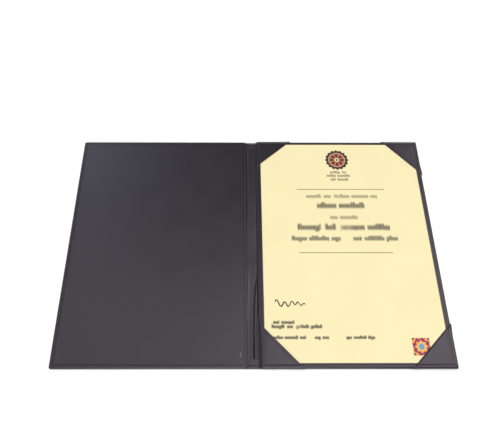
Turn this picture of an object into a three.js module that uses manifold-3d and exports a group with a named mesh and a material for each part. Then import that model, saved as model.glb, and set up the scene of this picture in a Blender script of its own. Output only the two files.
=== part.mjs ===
// Open certificate holder: two stiff covers joined by a soft spine, with a sheet held by four corner pockets.
// Millimetres, +Z up. X runs across both covers, Y from the tail edge to the head edge.
// The origin is the middle of the spine, on the surface that the open holder lies on.

import * as THREE from 'three';
import { mergeVertices } from 'three/addons/utils/BufferGeometryUtils.js';
import Module from 'manifold-3d';

// Certificate sheet, and the play between its edges and the stitched seams round it
const SHEET_WIDTH = 210;
const SHEET_HEIGHT = 297;
const SHEET_THICKNESS = 0.25;
const PLAY_SPINE = 0.7;
const PLAY_FORE = 2.7;
const PLAY_HEAD = 0.7;
const PLAY_TAIL = 1.7;

// Square foil seal, placed from the sheet's lower outer corner
const SEAL_SIZE = 20;
const SEAL_THICKNESS = 0.08;
const SEAL_FROM_FORE = 21.2;
const SEAL_FROM_TAIL = 8.2;

// Layers of a cover, from the outside in
const SKIN = 0.8;
const BOARD = 2.0;
const TURN_IN = 0.4;
const TURN_IN_REACH = 12;
const LINING = 0.6;
const LINING_INSET = 1.0;
const GLUE = 0.05;
const CORNER_RADIUS = 2.5;

// Soft spine: two fold lines, and the strip between each fold line and its board
const FOLD_SPACING = 8;
const FOLD_REACH = 4;
const FOLD_GAP = 0.3;
const STRIP_REACH = 14;
const LAY_GAP = 0.3;

// Sewing
const STITCH_INSET = 3.9;
const SEAM_ALLOWANCE = 0.1;
const THREAD_WIDTH = 0.6;
const THREAD_THICKNESS = 0.25;
const THREAD_SINK = 0.1;
const GROOVE_CLEARANCE = 0.15;
const RISER_CLEARANCE = 0.3;

// Corner pockets: leg of each triangle along the cover's edges
const POCKET_LEGS = { top_left: 42, top_right: 50, bottom_right: 51.5, bottom_left: 48.5 };
const POCKET = 0.6;
const POCKET_WRAP_GAP = 0.1;
const SLOT_CLEARANCE = 0.12;
const HEM_WIDTH = 3.6;
const HEM_FOLD = 0.5;
const HEM_STITCH_BACK = 1.0;

// Places that follow from the sizes above
const SEAM = STITCH_INSET + THREAD_WIDTH / 2 + SEAM_ALLOWANCE;
const COVER_WIDTH = SHEET_WIDTH + PLAY_SPINE + PLAY_FORE + 2 * SEAM;
const COVER_HEIGHT = SHEET_HEIGHT + PLAY_HEAD + PLAY_TAIL + 2 * SEAM;
const FOLD_X = FOLD_SPACING / 2;
const FOLD_SIDE = FOLD_X + FOLD_GAP / 2;
const SPINE_SIDE = FOLD_X - FOLD_GAP / 2;
const INNER_X = FOLD_X + FOLD_REACH;
const OUTER_X = INNER_X + COVER_WIDTH;
const HEAD_Y = COVER_HEIGHT / 2;
const TURN_IN_Y = HEAD_Y - TURN_IN_REACH;
const LINING_Y = HEAD_Y - LINING_INSET;

// Heights of the layers
const BOARD_LOW = SKIN + GLUE;
const BOARD_HIGH = BOARD_LOW + BOARD;
const TURN_IN_LOW = BOARD_HIGH + GLUE;
const TURN_IN_HIGH = TURN_IN_LOW + TURN_IN;
const LINING_LOW = TURN_IN_HIGH + GLUE;
const LINING_HIGH = LINING_LOW + LINING;
const SHEET_LOW = LINING_HIGH + GLUE;
const NEEDLE_LOW = LINING_HIGH + GLUE;
const SHEET_HIGH = SHEET_LOW + SHEET_THICKNESS;
const SEAL_LOW = SHEET_HIGH + GLUE;
const SEAL_HIGH = SEAL_LOW + SEAL_THICKNESS;
const FLAP_LOW = SEAL_HIGH + SLOT_CLEARANCE;
const FLAP_HIGH = FLAP_LOW + POCKET;
const HEM_HIGH = FLAP_HIGH + HEM_FOLD;
const SPINE_HEM_HIGH = SKIN + GLUE + TURN_IN;
const SPINE_LINING_LOW = SKIN + GLUE;
const SPINE_LINING_END_LOW = SPINE_HEM_HIGH + GLUE;

// Reach of a cutting solid across the whole holder, and past a face that it cuts
const FAR = 2 * OUTER_X;
const PAST = 1;

// Steps of a rounded corner
const ARC_STEPS = 6;

const wasm = await Module();
wasm.setup();

// Closed solid from a three.js geometry
function solid(geometry) {
  const bare = geometry.index ? geometry.toNonIndexed() : geometry;
  bare.deleteAttribute('normal');
  bare.deleteAttribute('uv');
  const merged = mergeVertices(bare, 1e-5);
  return new wasm.Manifold(new wasm.Mesh({
    numProp: 3,
    vertProperties: new Float32Array(merged.attributes.position.array),
    triVerts: new Uint32Array(merged.index.array),
  }));
}

// Block between two corners
function block(x0, x1, y0, y1, z0, z1) {
  const geometry = new THREE.BoxGeometry(x1 - x0, y1 - y0, z1 - z0);
  geometry.translate((x0 + x1) / 2, (y0 + y1) / 2, (z0 + z1) / 2);
  return solid(geometry);
}

// Upright prism over a plan outline
function prism(shape, z0, z1) {
  const settings = { depth: z1 - z0, bevelEnabled: false, curveSegments: ARC_STEPS };
  const geometry = new THREE.ExtrudeGeometry(shape, settings);
  geometry.translate(0, 0, z0);
  return solid(geometry);
}

// Plan outline of the right-hand cover, drawn in by an inset, with its two outer corners rounded
function coverOutline(innerX, inset) {
  const outer = OUTER_X - inset;
  const head = HEAD_Y - inset;
  const radius = Math.max(CORNER_RADIUS - inset, CORNER_RADIUS / 10);
  const shape = new THREE.Shape();
  shape.moveTo(innerX, -head);
  shape.lineTo(outer - radius, -head);
  shape.absarc(outer - radius, radius - head, radius, -Math.PI / 2, 0, false);
  shape.lineTo(outer, head - radius);
  shape.absarc(outer - radius, head - radius, radius, 0, Math.PI / 2, false);
  shape.lineTo(innerX, head);
  shape.closePath();
  return shape;
}

// Flat rectangular ring of stitching round the right-hand cover
function stitchRing(width, z0, z1) {
  const half = width / 2;
  const x0 = INNER_X + STITCH_INSET;
  const x1 = OUTER_X - STITCH_INSET;
  const y = HEAD_Y - STITCH_INSET;
  const outside = block(x0 - half, x1 + half, -y - half, y + half, z0, z1);
  return outside.subtract(block(x0 + half, x1 - half, half - y, y - half, z0 - PAST, z1 + PAST));
}

// Rows of stitching along the head and the tail, between two places across
function endRows(x0, x1, width, z0, z1) {
  return [1, -1].map((end) => {
    const y = end * (HEAD_Y - STITCH_INSET);
    return block(x0, x1, y - width / 2, y + width / 2, z0, z1);
  });
}

// Thread on the outer face lies in a groove pressed into the skin
const BOBBIN_LOW = THREAD_SINK;
const BOBBIN_HIGH = BOBBIN_LOW + THREAD_THICKNESS;
const GROOVE_HIGH = BOBBIN_HIGH + GLUE;
const GROOVE_WIDTH = THREAD_WIDTH + 2 * GROOVE_CLEARANCE;

// Outer skin of a cover: a tray turned in over the board on three sides, running on to the fold line
function coverSkin() {
  const side = INNER_X - GLUE;
  let skin = prism(coverOutline(FOLD_SIDE, 0), 0, TURN_IN_HIGH);
  skin = skin.subtract(prism(coverOutline(side, SKIN), SKIN, TURN_IN_LOW));
  const window = block(side, OUTER_X - TURN_IN_REACH, -TURN_IN_Y, TURN_IN_Y, SKIN, TURN_IN_HIGH + PAST);
  skin = skin.subtract(window);
  skin = skin.subtract(block(0, side, -FAR, FAR, SPINE_HEM_HIGH, TURN_IN_HIGH + PAST));
  skin = skin.subtract(block(0, side, -TURN_IN_Y, TURN_IN_Y, SKIN, TURN_IN_HIGH + PAST));
  skin = skin.subtract(stitchRing(GROOVE_WIDTH, -PAST, GROOVE_HIGH));
  for (const groove of endRows(0, INNER_X + STITCH_INSET, GROOVE_WIDTH, -PAST, GROOVE_HIGH)) {
    skin = skin.subtract(groove);
  }
  return skin;
}

function coverBoard() {
  return prism(coverOutline(INNER_X + LINING + GLUE, SKIN + GLUE), BOARD_LOW, BOARD_HIGH);
}

function coverLining() {
  return prism(coverOutline(INNER_X + LINING_INSET, LINING_INSET), LINING_LOW, LINING_HIGH);
}

// Low and high limits along Y of a band at the head (1) or the tail (-1)
function endBand(end, near, far) {
  return [end * near, end * far].sort((a, b) => a - b);
}

// Strip that lines the gutter beside a board, climbs the board's edge and lies on the board
function hingeStrip() {
  const wallX = INNER_X + LINING;
  const wallY = HEAD_Y - SKIN - GLUE;
  const flatY = TURN_IN_Y - LAY_GAP;
  let strip = block(INNER_X, wallX, -wallY, wallY, BOARD_LOW, BOARD_HIGH);
  strip = strip.add(block(INNER_X, wallX, -flatY, flatY, BOARD_LOW, TURN_IN_HIGH));
  strip = strip.add(block(INNER_X, INNER_X + STRIP_REACH, -flatY, flatY, TURN_IN_LOW, TURN_IN_HIGH));
  strip = strip.add(block(FOLD_SIDE, wallX, -flatY, flatY, SPINE_LINING_LOW, SPINE_LINING_LOW + LINING));
  for (const end of [1, -1]) {
    const [y0, y1] = endBand(end, flatY - LINING, LINING_Y);
    strip = strip.add(block(FOLD_SIDE, wallX, y0, y1, SPINE_LINING_END_LOW, SPINE_LINING_END_LOW + LINING));
  }
  return strip;
}

// Outer skin of the spine, turned over at the head and the tail
function spineSkin() {
  let skin = block(-SPINE_SIDE, SPINE_SIDE, -HEAD_Y, HEAD_Y, 0, SPINE_HEM_HIGH);
  skin = skin.subtract(block(-FAR, FAR, -TURN_IN_Y, TURN_IN_Y, SKIN, SPINE_HEM_HIGH + PAST));
  for (const groove of endRows(-FAR, FAR, GROOVE_WIDTH, -PAST, GROOVE_HIGH)) {
    skin = skin.subtract(groove);
  }
  return skin;
}

// Lining of the spine, lifted over the turned ends of the skin
function spineLining() {
  const flatY = TURN_IN_Y - LAY_GAP;
  let lining = block(-SPINE_SIDE, SPINE_SIDE, -flatY, flatY, SPINE_LINING_LOW, SPINE_LINING_LOW + LINING);
  for (const end of [1, -1]) {
    const [y0, y1] = endBand(end, flatY - LINING, LINING_Y);
    const top = SPINE_LINING_END_LOW + LINING;
    lining = lining.add(block(-SPINE_SIDE, SPINE_SIDE, y0, y1, SPINE_LINING_END_LOW, top));
  }
  return lining;
}

// The four pocket corners: where the corner is, and which way is inwards
const CORNERS = {
  top_left: { x: INNER_X, y: HEAD_Y, inX: 1, inY: -1 },
  top_right: { x: OUTER_X, y: HEAD_Y, inX: -1, inY: -1 },
  bottom_right: { x: OUTER_X, y: -HEAD_Y, inX: -1, inY: 1 },
  bottom_left: { x: INNER_X, y: -HEAD_Y, inX: 1, inY: 1 },
};

// Triangular prism over a pocket's corner; grow moves its long side out, or in where it is negative
function cornerPrism(name, grow, z0, z1) {
  const corner = CORNERS[name];
  const leg = POCKET_LEGS[name] + grow * Math.SQRT2;
  const shape = new THREE.Shape();
  shape.moveTo(corner.x, corner.y);
  shape.lineTo(corner.x + corner.inX * leg, corner.y);
  shape.lineTo(corner.x, corner.y + corner.inY * leg);
  shape.closePath();
  return prism(shape, z0, z1);
}

// Space inside a pocket's two seams
function insideSeams(name, z0, z1) {
  const corner = CORNERS[name];
  const x0 = corner.x + corner.inX * SEAM;
  const y0 = corner.y + corner.inY * SEAM;
  const x1 = x0 + corner.inX * FAR;
  const y1 = y0 + corner.inY * FAR;
  return block(Math.min(x0, x1), Math.max(x0, x1), Math.min(y0, y1), Math.max(y0, y1), z0, z1);
}

// Pocket: a triangular flap, wrapped down over the lining's edges, with a folded hem along its long side
function pocket(name) {
  const wrapInset = LINING_INSET - POCKET_WRAP_GAP - POCKET;
  const liningInset = LINING_INSET - POCKET_WRAP_GAP;
  let flap = cornerPrism(name, 0, LINING_LOW, FLAP_HIGH);
  flap = flap.intersect(prism(coverOutline(INNER_X + wrapInset, wrapInset), LINING_LOW, FLAP_HIGH));
  flap = flap.subtract(prism(coverOutline(INNER_X + liningInset, liningInset), LINING_LOW - PAST, NEEDLE_LOW));
  flap = flap.subtract(insideSeams(name, LINING_LOW - PAST, FLAP_LOW));
  let hem = cornerPrism(name, 0, FLAP_LOW, HEM_HIGH);
  hem = hem.subtract(cornerPrism(name, -HEM_WIDTH, FLAP_LOW - PAST, HEM_HIGH + PAST));
  return flap.add(hem.intersect(insideSeams(name, FLAP_LOW, HEM_HIGH)));
}

// Row of stitching along a pocket's hem
function hemThread(name) {
  const low = HEM_HIGH + GLUE;
  const high = low + THREAD_THICKNESS;
  const near = THREAD_WIDTH / 2 + HEM_STITCH_BACK - HEM_WIDTH;
  const row = cornerPrism(name, near, low, high)
    .subtract(cornerPrism(name, near - THREAD_WIDTH, low - PAST, high + PAST));
  return row.intersect(insideSeams(name, low, high));
}

// Ring of stitching on the inner face of the plain cover
function plainRing() {
  return stitchRing(THREAD_WIDTH, NEEDLE_LOW, NEEDLE_LOW + THREAD_THICKNESS);
}

// The same ring on the pocketed cover, which climbs on to each pocket and off it again
function pocketRing() {
  const lowTop = NEEDLE_LOW + THREAD_THICKNESS;
  const highBottom = FLAP_HIGH + GLUE;
  const highTop = highBottom + THREAD_THICKNESS;
  const offPocket = RISER_CLEARANCE + THREAD_WIDTH;
  let above = block(-FAR, FAR, -FAR, FAR, lowTop, highTop + PAST);
  let ring = stitchRing(THREAD_WIDTH, NEEDLE_LOW, highTop);
  for (const name of Object.keys(CORNERS)) {
    ring = ring.subtract(cornerPrism(name, RISER_CLEARANCE, NEEDLE_LOW - PAST, highBottom));
    above = above.subtract(cornerPrism(name, offPocket, lowTop - PAST, highTop + 2 * PAST));
  }
  return ring.subtract(above);
}

// Ring of stitching in the outer face's groove, with its ends run on to the fold line
function bobbinRing() {
  let ring = stitchRing(THREAD_WIDTH, BOBBIN_LOW, BOBBIN_HIGH);
  const start = FOLD_SIDE + GROOVE_CLEARANCE;
  for (const row of endRows(start, INNER_X + STITCH_INSET, THREAD_WIDTH, BOBBIN_LOW, BOBBIN_HIGH)) {
    ring = ring.add(row);
  }
  return ring;
}

const SHEET_X = INNER_X + SEAM + PLAY_SPINE;
const SHEET_Y = SEAM + PLAY_TAIL - HEAD_Y;

function certificateSheet() {
  return block(SHEET_X, SHEET_X + SHEET_WIDTH, SHEET_Y, SHEET_Y + SHEET_HEIGHT, SHEET_LOW, SHEET_HIGH);
}

function foilSeal() {
  const x1 = SHEET_X + SHEET_WIDTH - SEAL_FROM_FORE;
  const y0 = SHEET_Y + SEAL_FROM_TAIL;
  return block(x1 - SEAL_SIZE, x1, y0, y0 + SEAL_SIZE, SEAL_LOW, SEAL_HIGH);
}

// Surface of each material: colour, roughness and metalness
const FINISHES = {
  leatherette: { color: 0x47454a, roughness: 0.55, metalness: 0 },
  board: { color: 0x8f8b80, roughness: 0.95, metalness: 0 },
  thread: { color: 0x2e2c2f, roughness: 0.7, metalness: 0 },
  paper: { color: 0xfcefbf, roughness: 0.85, metalness: 0 },
  foil: { color: 0xb4bfc9, roughness: 0.3, metalness: 0.8 },
};

// Named mesh of one piece, with a material of its own
function piece(name, body, finish) {
  const data = body.getMesh();
  const geometry = new THREE.BufferGeometry();
  geometry.setAttribute('position', new THREE.BufferAttribute(data.vertProperties, 3));
  geometry.setIndex(new THREE.BufferAttribute(data.triVerts, 1));
  geometry.computeVertexNormals();
  const material = new THREE.MeshStandardMaterial({ ...FINISHES[finish], flatShading: true });
  const mesh = new THREE.Mesh(geometry, material);
  mesh.name = name;
  return mesh;
}

// Pieces that both covers have, drawn for the right-hand one
function cover(side) {
  const group = new THREE.Group();
  group.add(piece(`${side}_cover_skin`, coverSkin(), 'leatherette'));
  group.add(piece(`${side}_board`, coverBoard(), 'board'));
  group.add(piece(`${side}_hinge_strip`, hingeStrip(), 'leatherette'));
  group.add(piece(`${side}_lining`, coverLining(), 'leatherette'));
  group.add(piece(`${side}_bobbin_thread`, bobbinRing(), 'thread'));
  return group;
}

// Right-hand cover, with the pockets
const back = cover('back');
back.add(piece('back_needle_thread', pocketRing(), 'thread'));
for (const name of Object.keys(CORNERS)) {
  back.add(piece(`pocket_${name}`, pocket(name), 'leatherette'));
  back.add(piece(`hem_thread_${name}`, hemThread(name), 'thread'));
}

// Left-hand cover, half a turn round the middle of the spine
const front = cover('front');
front.add(piece('front_needle_thread', plainRing(), 'thread'));
front.rotation.z = Math.PI;

// Soft spine between the two fold lines
const spine = new THREE.Group();
spine.add(piece('spine_skin', spineSkin(), 'leatherette'));
spine.add(piece('spine_lining', spineLining(), 'leatherette'));
const ends = ['head', 'tail'];
const rowX = SPINE_SIDE - GROOVE_CLEARANCE;
const spineNeedleLow = SPINE_LINING_END_LOW + LINING + GLUE;
endRows(-rowX, rowX, THREAD_WIDTH, spineNeedleLow, spineNeedleLow + THREAD_THICKNESS).forEach((row, i) => {
  spine.add(piece(`spine_${ends[i]}_needle_thread`, row, 'thread'));
});
endRows(-rowX, rowX, THREAD_WIDTH, BOBBIN_LOW, BOBBIN_HIGH).forEach((row, i) => {
  spine.add(piece(`spine_${ends[i]}_bobbin_thread`, row, 'thread'));
});

// Sheet with its seal
const certificate = new THREE.Group();
certificate.add(piece('certificate_sheet', certificateSheet(), 'paper'));
certificate.add(piece('foil_seal', foilSeal(), 'foil'));

const holder = new THREE.Group();
holder.add(front, spine, back, certificate);

export default holder;
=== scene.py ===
# %% [markdown]
# # An open certificate holder
# Two leatherette covers meet at a soft spine. The right-hand one carries a paper sheet in four
# corner pockets. The imported CAD model is the frame: it gives every place, and some of the pieces
# made here ride on one of its bodies.

# %% The frame
import math

import bmesh
import bpy
import numpy as np
from mathutils import Matrix, Vector


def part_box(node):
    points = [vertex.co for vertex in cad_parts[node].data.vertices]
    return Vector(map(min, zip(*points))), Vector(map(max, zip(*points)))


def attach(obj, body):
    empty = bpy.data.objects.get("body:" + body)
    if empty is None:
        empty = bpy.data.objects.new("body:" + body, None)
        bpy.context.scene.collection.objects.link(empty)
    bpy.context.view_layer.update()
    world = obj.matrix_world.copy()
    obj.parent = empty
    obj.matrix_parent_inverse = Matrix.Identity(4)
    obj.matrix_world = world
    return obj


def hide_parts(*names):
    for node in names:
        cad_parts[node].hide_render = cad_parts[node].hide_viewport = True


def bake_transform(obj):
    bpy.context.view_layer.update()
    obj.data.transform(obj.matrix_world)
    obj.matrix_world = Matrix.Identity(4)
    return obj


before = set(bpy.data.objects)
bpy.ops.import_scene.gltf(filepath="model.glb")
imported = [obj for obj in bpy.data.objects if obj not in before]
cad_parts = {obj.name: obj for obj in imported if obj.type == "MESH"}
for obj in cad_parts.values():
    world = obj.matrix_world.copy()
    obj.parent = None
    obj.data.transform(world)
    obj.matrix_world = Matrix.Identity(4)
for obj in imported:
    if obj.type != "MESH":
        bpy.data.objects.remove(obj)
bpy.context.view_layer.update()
MM = 0.001


def node_box(name):
    """The lowest and highest corner of a CAD node, in millimetres."""
    return np.array(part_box(name)) / MM


# %% [markdown]
# ## Camera
# The photograph was taken from above and in front, with the holder lying flat. The camera's place
# follows from the four outer corners, the gutter and the sheet, all of known size. A lens of
# about 39 mm on a 36 mm wide sensor gives the same perspective, so no shift is needed.

# %% Camera
IMAGE_WIDTH = 480
FOCAL_PIXELS = 525.0
SENSOR_WIDTH = 36.0
CAMERA_PLACE = (-0.0194, -0.2724, 0.6046)
CAMERA_YAW, CAMERA_PITCH, CAMERA_ROLL = -0.782, 27.718, 0.732

lens = bpy.data.cameras.new("camera")
lens.sensor_fit = "HORIZONTAL"
lens.sensor_width = SENSOR_WIDTH
lens.lens = FOCAL_PIXELS / IMAGE_WIDTH * SENSOR_WIDTH
camera = bpy.data.objects.new("camera", lens)
camera.matrix_world = (
    Matrix.Translation(CAMERA_PLACE)
    @ Matrix.Rotation(math.radians(CAMERA_YAW), 4, "Z")
    @ Matrix.Rotation(math.radians(CAMERA_PITCH), 4, "X")
    @ Matrix.Rotation(math.radians(CAMERA_ROLL), 4, "Z")
)
bpy.context.scene.collection.objects.link(camera)
bpy.context.scene.camera = camera
print("lens", round(lens.lens, 2), "mm")

# %% [markdown]
# ## From arrays to a mesh
# A surface is a grid of points, rows by columns. Neighbours on the grid share a quad, so the faces
# follow from the grid's size alone. Two such sheets, one for each side of the leather, are joined
# along their open edges into one closed shell. The sign of the volume tells whether the faces look
# outwards, so mirrored pieces need no special care.

# %% Grid helpers
def smooth(t):
    """An S-shaped rise: 0 below 0, 1 above 1, and t * t * (3 - 2 t) between."""
    t = np.clip(t, 0.0, 1.0)
    return t * t * (3.0 - 2.0 * t)


def bell(distance, width):
    """A bell-shaped hump: 1 at distance 0, falling as exp(-(distance / width) squared)."""
    return np.exp(-((distance / width) ** 2))


def quads_between(rows, columns, closed=False):
    """One quad for each step along a row and to the next row; closed joins the row's two ends."""
    steps = columns if closed else columns - 1
    row, column = np.meshgrid(np.arange(rows - 1), np.arange(steps), indexing="ij")
    after = (column + 1) % columns
    corners = [row * columns + column, row * columns + after]
    corners += [(row + 1) * columns + after, (row + 1) * columns + column]
    return np.stack(corners, axis=-1).reshape(-1, 4)


def shell(outer, inner, first_row=True, sides=True):
    """Two grids of points joined along their borders into one closed shell.

    The first row and the sides need no rim where the surface has already closed up there.
    """
    rows, columns = outer.shape[:2]
    index = np.arange(rows * columns).reshape(rows, columns)
    under = index + rows * columns
    faces = [quads_between(rows, columns), quads_between(rows, columns)[:, ::-1] + rows * columns]

    def rim(a, b):
        """Quads between two borders, point by point."""
        faces.append(np.stack([a[:-1], a[1:], b[1:], b[:-1]], axis=-1))

    if first_row:
        rim(index[0][::-1], under[0][::-1])
    rim(index[-1], under[-1])
    if sides:
        rim(index[:, 0], under[:, 0])
        rim(index[::-1, -1], under[::-1, -1])
    return np.concatenate([outer.reshape(-1, 3), inner.reshape(-1, 3)]), np.concatenate(faces)


def volume_of(points, faces):
    """The signed volume: each quad's two triangles make a wedge with the origin."""
    a, b, c, d = (points[faces[:, k]] for k in range(4))
    wedges = np.einsum("ij,ij->i", a, np.cross(b, c)) + np.einsum("ij,ij->i", a, np.cross(c, d))
    return wedges.sum() / 6.0


print("a grid of 3 by 4 points has", len(quads_between(3, 4)), "quads")

# %% A piece from points and faces
MERGE_DISTANCE = 2e-6
SHARP_ANGLE = math.radians(50)


def make_piece(name, points, faces, finish, replaced=()):
    """A named object from points in millimetres and quads, with doubles merged and faces outwards."""
    points = np.asarray(points, float) * MM
    if volume_of(points - points.mean(axis=0), faces) < 0:
        faces = faces[:, ::-1]
    mesh = bpy.data.meshes.new(name)
    mesh.from_pydata(points.tolist(), [], faces.tolist())
    work = bmesh.new()
    work.from_mesh(mesh)
    bmesh.ops.remove_doubles(work, verts=work.verts, dist=MERGE_DISTANCE)
    work.to_mesh(mesh)
    work.free()
    mesh.shade_smooth()
    mesh.set_sharp_from_angle(angle=SHARP_ANGLE)
    mesh.materials.append(finish)
    piece = bpy.data.objects.new(name, mesh)
    bpy.context.scene.collection.objects.link(piece)
    if replaced:
        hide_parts(*replaced)
    print(name, len(mesh.polygons), "faces")
    return piece


# %% [markdown]
# ## Shader maths in Python
# A material's pattern is arithmetic on coordinates. The class below wraps an output socket, so that
# a plain Python sum adds the Math nodes for it. Every other node comes from one method, which sets
# the node's own options first and then its sockets.

# %% Shader helpers
CLOUD_SPAN = (0.3, 0.7)


class Value:
    """A socket that takes part in Python arithmetic; each operator adds one Math node."""

    def __init__(self, finish, socket):
        self.finish = finish
        self.socket = socket

    def math(self, operation, *others):
        """A Math node that takes this value first and the others after it."""
        inputs = dict(enumerate((self,) + others))
        return self.finish.add("ShaderNodeMath", {"operation": operation}, inputs)

    def turned(self, operation, other):
        """A Math node that takes this value second, as 1 - mask needs."""
        return self.finish.add("ShaderNodeMath", {"operation": operation}, {0: other, 1: self})

    def __add__(self, other):
        return self.math("ADD", other)

    def __sub__(self, other):
        return self.math("SUBTRACT", other)

    def __mul__(self, other):
        return self.math("MULTIPLY", other)

    def __truediv__(self, other):
        return self.math("DIVIDE", other)

    def __rsub__(self, other):
        return self.turned("SUBTRACT", other)

    def __rtruediv__(self, other):
        return self.turned("DIVIDE", other)

    __radd__ = __add__
    __rmul__ = __mul__

    def ramp(self, low, high):
        """0 at low and 1 at high, with an S-shaped rise between them."""
        settings = {"interpolation_type": "SMOOTHSTEP", "clamp": True}
        inputs = {"Value": self, "From Min": low, "From Max": high}
        return self.finish.add("ShaderNodeMapRange", settings, inputs)


class Finish:
    """A material with one Principled shader, and a method that adds any other node."""

    def __init__(self, name, **constants):
        self.material = bpy.data.materials.new(name)
        self.material.use_nodes = True
        self.tree = self.material.node_tree
        self.shader = self.tree.nodes["Principled BSDF"]
        self.feed(self.shader, {key.replace("_", " "): value for key, value in constants.items()})

    def feed(self, node, inputs):
        """Sets or links a node's sockets, each found by its number, identifier or name."""
        for key, value in inputs.items():
            if isinstance(key, int):
                socket = node.inputs[key]
            else:
                socket = next(s for s in node.inputs if key in (s.identifier, s.name))
            if isinstance(value, Value):
                self.tree.links.new(value.socket, socket)
            else:
                socket.default_value = value

    def add(self, kind, settings=None, inputs=None, output=0):
        """A new node: its settings are set first and its sockets after them; gives back one output."""
        node = self.tree.nodes.new(kind)
        for key, value in (settings or {}).items():
            if key == "stops":
                ramp = node.color_ramp
                while len(ramp.elements) < len(value):
                    ramp.elements.new(1.0)
                for element, (place, colour) in zip(ramp.elements, value):
                    element.position = place
                    element.color = (*colour, 1.0)
            else:
                setattr(node, key, value)
        self.feed(node, inputs or {})
        if isinstance(output, int):
            return Value(self, node.outputs[output])
        return Value(self, next(s for s in node.outputs if output in (s.identifier, s.name)))

    def place(self):
        """The piece's own Object coordinates, in metres."""
        return self.add("ShaderNodeTexCoord", output="Object")

    def millimetres(self):
        """The Object coordinates as three values, in millimetres."""
        parts = (self.add("ShaderNodeSeparateXYZ", None, {0: self.place()}, k) for k in range(3))
        return tuple(part * (1 / MM) for part in parts)

    def noise(self, size, detail=2.0, roughness=0.5):
        """A cloudy pattern whose lumps are about size millimetres wide."""
        inputs = {"Vector": self.place(), "Scale": 1 / (size * MM)}
        inputs.update({"Detail": detail, "Roughness": roughness})
        return self.add("ShaderNodeTexNoise", {"noise_dimensions": "3D"}, inputs, "Fac")

    def cloud(self, size, detail=2.0):
        """The same, with its middle values stretched to run from 0 to 1."""
        return self.noise(size, detail).ramp(*CLOUD_SPAN)

    def mix(self, factor, first, second, blend="MIX"):
        """A colour between two others."""
        settings = {"data_type": "RGBA", "blend_type": blend}
        colours = {
            key: value if isinstance(value, Value) else (*value, 1.0)
            for key, value in (("A_Color", first), ("B_Color", second))
        }
        return self.add("ShaderNodeMix", settings, {"Factor_Float": factor, **colours}, "Result_Color")

    def bump(self, height, strength, depth):
        """A normal tilted as if the surface rose by depth millimetres where height is 1."""
        inputs = {"Strength": strength, "Distance": depth * MM, "Height": height}
        return self.add("ShaderNodeBump", None, inputs, "Normal")

    def finish(self, **inputs):
        """Feeds the Principled shader and gives back the material."""
        self.feed(self.shader, {key.replace("_", " "): value for key, value in inputs.items()})
        print("finish", self.material.name, len(self.tree.nodes), "nodes")
        return self.material


# %% [markdown]
# ## Floor and light
# The holder lies on a seamless white table, bright enough to wash out to white as in a studio. Dark
# leatherette shows mostly what it mirrors, so its shading depends on where the lights hang. Two broad
# ones hang to the upper right and the upper left, and two small ones behind them serve the far corners.
# One above the viewer catches the slopes that face the viewer. A large one far in front lights the
# front edges and the sheet, and the leather doesn't mirror it.

# %% Floor
FLOOR_HALF, FLOOR_LINES = 6.0, 5
FLOOR_DROP = -0.0002
FLOOR_CLOUD = 400.0
FLOOR_TONES = ((0.93, 0.93, 0.93), (0.95, 0.95, 0.95))

floor_line = np.linspace(-FLOOR_HALF, FLOOR_HALF, FLOOR_LINES)
floor_x, floor_y = np.meshgrid(floor_line, floor_line)
floor_points = np.stack([floor_x, floor_y, np.full_like(floor_x, FLOOR_DROP)], axis=-1)
floor_faces = quads_between(FLOOR_LINES, FLOOR_LINES)
floor_mesh = bpy.data.meshes.new("floor")
floor_mesh.from_pydata(floor_points.reshape(-1, 3).tolist(), [], floor_faces.tolist())
white = Finish("white_table", Roughness=0.9)
floor_mesh.materials.append(white.finish(Base_Color=white.mix(white.cloud(FLOOR_CLOUD), *FLOOR_TONES)))
floor = bpy.data.objects.new("floor", floor_mesh)
bpy.context.scene.collection.objects.link(floor)

# %% Light
# Each light gives its place, the point that it looks at and its two sides in metres, its watts and tint.
LIGHTS = {
    "key": ((0.97, 0.40, 2.1), (0.1, 0.0, 0.0), (1.28, 1.74), 23.8, (1.0, 0.97, 0.985)),
    "fill": ((-0.70, 0.32, 2.1), (0.0, 0.0, 0.0), (1.3, 1.54), 8.8, (0.95, 0.97, 1.0)),
    "left": ((-1.10, 1.85, 2.0), (0.0, 0.0, 0.0), (0.9, 0.9), 8.5, (0.80, 0.88, 1.0)),
    "right": ((1.25, 1.6, 2.1), (0.0, 0.0, 0.0), (0.6, 0.7), 3.1, (1.0, 0.93, 1.0)),
    "near": ((0.14, -0.56, 2.1), (0.0, 0.0, 0.0), (0.7, 0.9), 4.4, (1.0, 0.98, 0.99)),
    "front": ((-0.3, -3.2, 3.0), (0.0, 0.0, 0.0), (2.5, 2.0), 122.0, (1.0, 0.99, 0.98)),
}
WORLD_STRENGTH, WORLD_TINT = 0.20, (1.0, 1.0, 1.0, 1.0)


def soft_light(name, place, target, size, power, colour):
    """A rectangular light at place, in metres, turned to look at target."""
    data = bpy.data.lights.new(name, "AREA")
    data.shape = "RECTANGLE"
    data.size, data.size_y = size
    data.energy = power
    data.color = colour
    light = bpy.data.objects.new(name, data)
    look = Vector(place) - Vector(target)
    light.matrix_world = Matrix.Translation(place) @ look.to_track_quat("Z", "Y").to_matrix().to_4x4()
    bpy.context.scene.collection.objects.link(light)
    print("light", name, power, "W")


for name, measures in LIGHTS.items():
    soft_light(name, *measures)

world = bpy.data.worlds.new("studio")
world.use_nodes = True
background = world.node_tree.nodes["Background"]
background.inputs["Color"].default_value = WORLD_TINT
background.inputs["Strength"].default_value = WORLD_STRENGTH
bpy.context.scene.world = world
bpy.context.scene.view_settings.view_transform = "Standard"
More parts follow.
